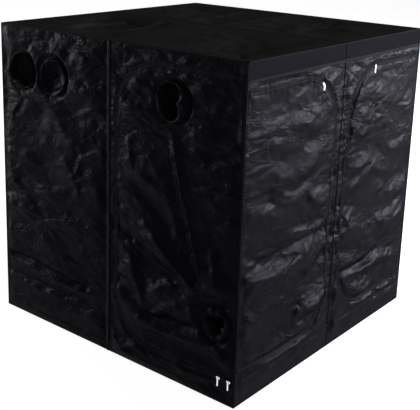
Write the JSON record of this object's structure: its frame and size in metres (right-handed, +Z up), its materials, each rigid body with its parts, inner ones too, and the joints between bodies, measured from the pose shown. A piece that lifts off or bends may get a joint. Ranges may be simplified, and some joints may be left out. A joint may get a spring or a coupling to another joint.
{
  "type": "indoor grow tent",
  "caption": "Cube-shaped indoor grow tent: a steel pole frame in a black fabric cover with zipped front and side doors, round duct ports, hanging bars and a floor tray.",
  "frame": {"origin": "on the ground under the centre of the tent", "axes": "+Z up, the double doors face -Y and the side door faces -X"},
  "size_m": [2.03, 2.0139, 2],
  "materials": {
    "black_fabric": "coated polyester cloth, slightly glossy, silver on its inner side",
    "tray_fabric": "coated waterproof cloth",
    "white_steel": "satin powder coat",
    "connector_steel": "satin powder coat",
    "zip_coil": "nylon coil on woven tape",
    "zip_metal": "bright plated",
    "webbing": "woven hook-and-loop webbing",
    "net": "fine net"
  },
  "bodies": {
    "tent": {"back_wall": "black_fabric", "bottom_rail_back": "white_steel", "bottom_rail_front": "white_steel", "bottom_rail_left": "white_steel", "bottom_rail_right": "white_steel", "corner_connector_high_back_left": "connector_steel", "corner_connector_high_back_right": "connector_steel", "corner_connector_high_front_left": "connector_steel", "corner_connector_high_front_right": "connector_steel", "corner_connector_low_back_left": "connector_steel", "corner_connector_low_back_right": "connector_steel", "corner_connector_low_front_left": "connector_steel", "corner_connector_low_front_right": "connector_steel", "corner_pole_back_left": "white_steel", "corner_pole_back_right": "white_steel", "corner_pole_front_left": "white_steel", "corner_pole_front_right": "white_steel", "duct_sleeve_a": "black_fabric", "duct_sleeve_b": "black_fabric", "floor_sheet": "black_fabric", "front_header": "black_fabric", "front_wall_left": "black_fabric", "front_wall_right": "black_fabric", "hook_and_loop_tab": "webbing", "left_wall_back": "black_fabric", "left_wall_front": "black_fabric", "mid_pole_back": "white_steel", "mid_pole_front": "white_steel", "mid_pole_left": "white_steel", "mid_pole_right": "white_steel", "right_wall": "black_fabric", "roof_bar_left": "white_steel", "roof_bar_middle": "white_steel", "roof_bar_right": "white_steel", "roof_sheet": "black_fabric", "top_rail_back": "white_steel", "top_rail_front": "white_steel", "top_rail_left": "white_steel", "top_rail_right": "white_steel", "vent_net": "net"},
    "front_left_door": {"front_left_door": "black_fabric", "front_left_door_zip": "zip_coil"},
    "front_right_door": {"front_right_door": "black_fabric", "front_right_door_zip": "zip_coil"},
    "side_door": {"side_door": "black_fabric", "side_door_zip": "zip_coil", "duct_sleeve_c": "black_fabric", "duct_sleeve_d": "black_fabric"},
    "front_left_slider": {"front_left_slider": "zip_metal"},
    "front_right_slider": {"front_right_slider": "zip_metal"},
    "side_a_slider": {"side_a_slider": "zip_metal"},
    "side_b_slider": {"side_b_slider": "zip_metal"},
    "front_left_pull": {"front_left_pull": "zip_metal"},
    "front_right_pull": {"front_right_pull": "zip_metal"},
    "side_a_pull": {"side_a_pull": "zip_metal"},
    "side_b_pull": {"side_b_pull": "zip_metal"},
    "vent_flap": {"vent_flap": "black_fabric"},
    "hanging_bar_front": {"hanging_bar_front": "white_steel"},
    "hanging_bar_back": {"hanging_bar_back": "white_steel"},
    "spill_tray": {"spill_tray": "tray_fabric"}
  },
  "joints": [
    {"name": "front_left_door_hinge", "type": "hinge", "parent": "tent", "child": "front_left_door", "pos_m": [-0.985, -1, 0], "axis": [0, 0, -1], "range_deg": [0, 115]},
    {"name": "front_right_door_hinge", "type": "hinge", "parent": "tent", "child": "front_right_door", "pos_m": [0.985, -1, 0], "axis": [0, 0, 1], "range_deg": [0, 115]},
    {"name": "side_door_hinge", "type": "hinge", "parent": "tent", "child": "side_door", "pos_m": [-1, -0.985, 0], "axis": [0, 0, 1], "range_deg": [0, 105]},
    {"name": "front_left_slider_run", "type": "hinge", "parent": "front_left_door", "child": "front_left_slider", "pos_m": [-0.42, -1, 1.486], "axis": [0, 1, 0], "range_deg": [-30.5, 59.4]},
    {"name": "front_right_slider_run", "type": "hinge", "parent": "front_right_door", "child": "front_right_slider", "pos_m": [0.42, -1, 1.486], "axis": [0, -1, 0], "range_deg": [-9.1, 80.8]},
    {"name": "side_a_slider_run", "type": "slide", "parent": "side_door", "child": "side_a_slider", "axis": [0, 1, 0], "range_m": [0, 0.5]},
    {"name": "side_b_slider_run", "type": "slide", "parent": "side_door", "child": "side_b_slider", "axis": [0, 1, 0], "range_m": [0, 0.045]},
    {"name": "front_left_pull_lift", "type": "hinge", "parent": "front_left_slider", "child": "front_left_pull", "pos_m": [-0.24535, -1.0091, 1.78237], "axis": [-1, 0, 0], "range_deg": [0, 100]},
    {"name": "front_right_pull_lift", "type": "hinge", "parent": "front_right_slider", "child": "front_right_pull", "pos_m": [0.36512, -1.0091, 1.82559], "axis": [-1, 0, 0], "range_deg": [0, 100]},
    {"name": "side_a_pull_lift", "type": "hinge", "parent": "side_a_slider", "child": "side_a_pull", "pos_m": [-1.0091, -0.886, 0.156], "axis": [0, 1, 0], "range_deg": [0, 100]},
    {"name": "side_b_pull_lift", "type": "hinge", "parent": "side_b_slider", "child": "side_b_pull", "pos_m": [-1.0091, -0.96, 0.156], "axis": [0, 1, 0], "range_deg": [0, 100]},
    {"name": "vent_flap_lift", "type": "hinge", "parent": "tent", "child": "vent_flap", "pos_m": [-0.5, 1.0013, 0.36], "axis": [1, 0, 0], "range_deg": [0, 120]},
    {"name": "hanging_bar_front_slide", "type": "slide", "parent": "tent", "child": "hanging_bar_front", "axis": [0, 1, 0], "range_m": [-0.35, 0.35]},
    {"name": "hanging_bar_back_slide", "type": "slide", "parent": "tent", "child": "hanging_bar_back", "axis": [0, 1, 0], "range_m": [-0.35, 0.35]},
    {"name": "spill_tray_lift", "type": "slide", "parent": "tent", "child": "spill_tray", "axis": [0, 0, 1], "range_m": [0, 0.3]}
  ]
}
